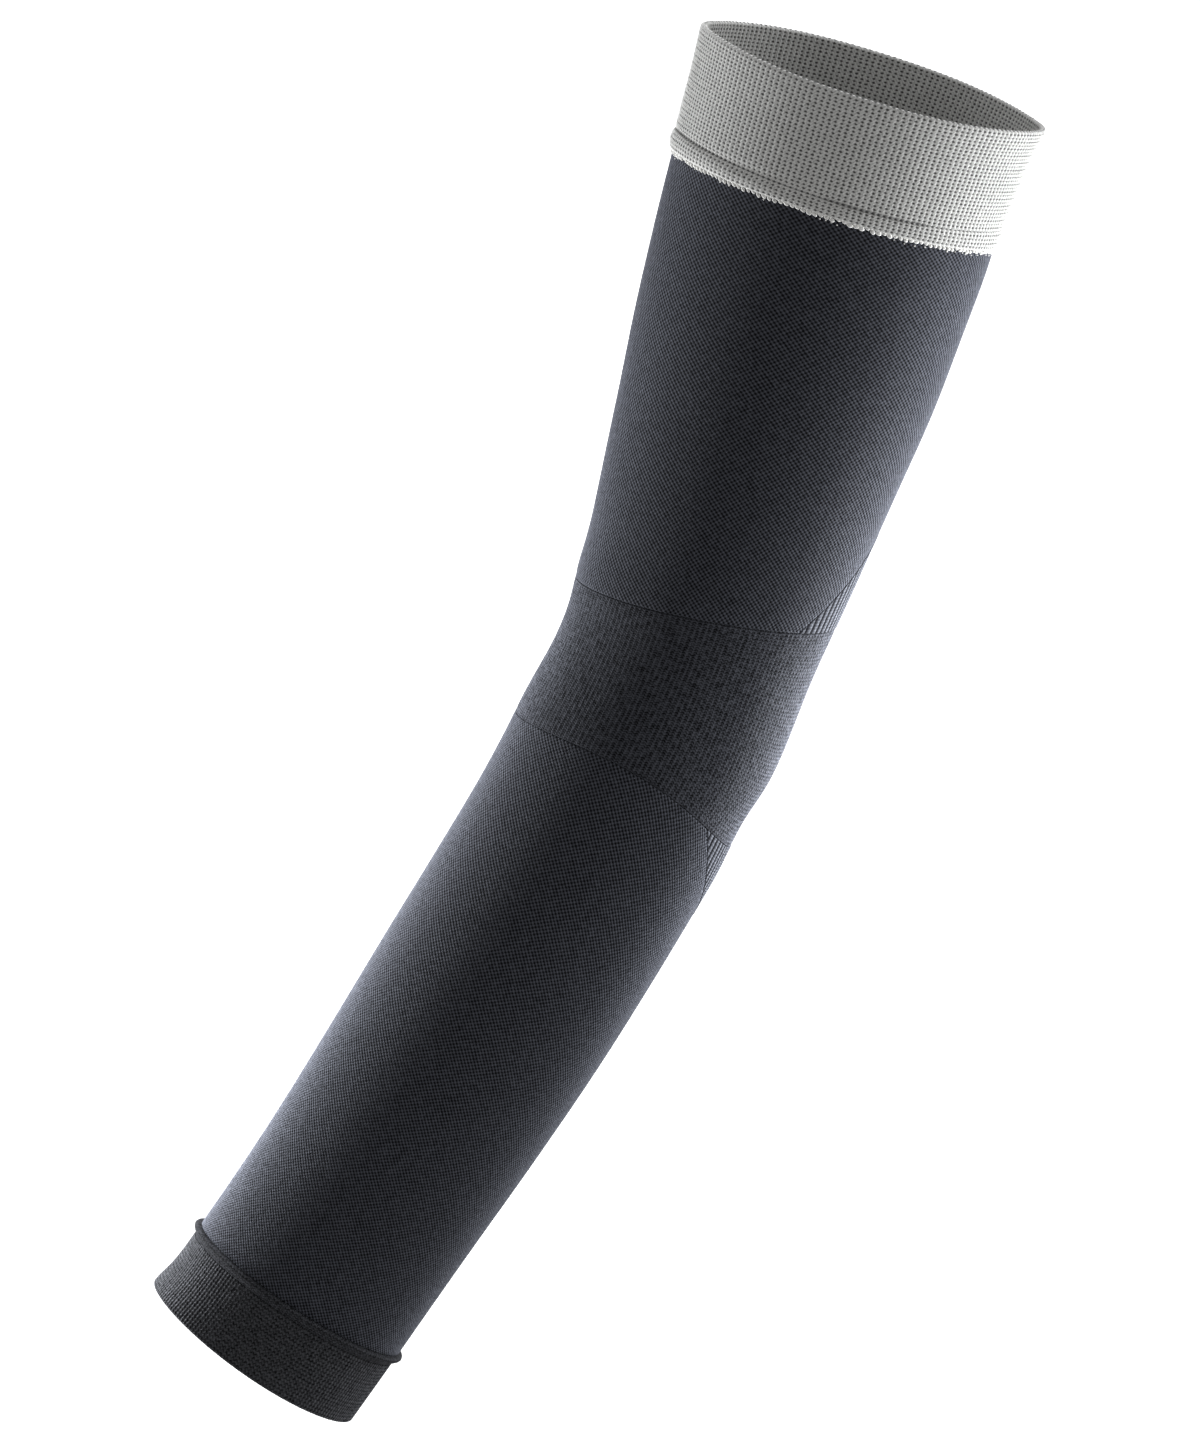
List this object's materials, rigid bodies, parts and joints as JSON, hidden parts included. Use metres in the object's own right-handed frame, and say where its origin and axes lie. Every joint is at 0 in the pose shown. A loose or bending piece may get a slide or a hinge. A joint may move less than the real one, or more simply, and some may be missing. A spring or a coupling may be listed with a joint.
{
  "type": "arm compression sleeve",
  "caption": "Knitted arm compression sleeve in worn form: grey top band with a tucked hem, dark upper arm, curved elbow panel with ribbed gussets, dark forearm, welted wrist cuff.",
  "frame": {"origin": "centre of the top opening, where the arm goes in", "axes": "+Z out of the top opening, towards the shoulder; +X from the crook of the elbow towards its tip, so the forearm turns towards -X; +Y across the arm"},
  "size_m": [0.1436, 0.0966, 0.4102],
  "materials": {
    "band_knit": "matte light grey knit with rows of small open holes",
    "arm_knit": "soft charcoal knit with a fine honeycomb of pores",
    "elbow_knit": "soft charcoal knit, plainer and finer than the arm",
    "rib_knit": "soft charcoal rib knit",
    "cuff_knit": "soft charcoal knit with fine lengthways ribs"
  },
  "bodies": {
    "root": {"top_band": "band_knit", "band_hem": "band_knit", "upper_arm_panel": "arm_knit", "elbow_rib_upper": "rib_knit", "elbow_panel": "elbow_knit", "elbow_rib_lower": "rib_knit", "forearm_panel": "arm_knit", "cuff_welt": "cuff_knit", "wrist_cuff": "cuff_knit"}
  },
  "joints": []
}
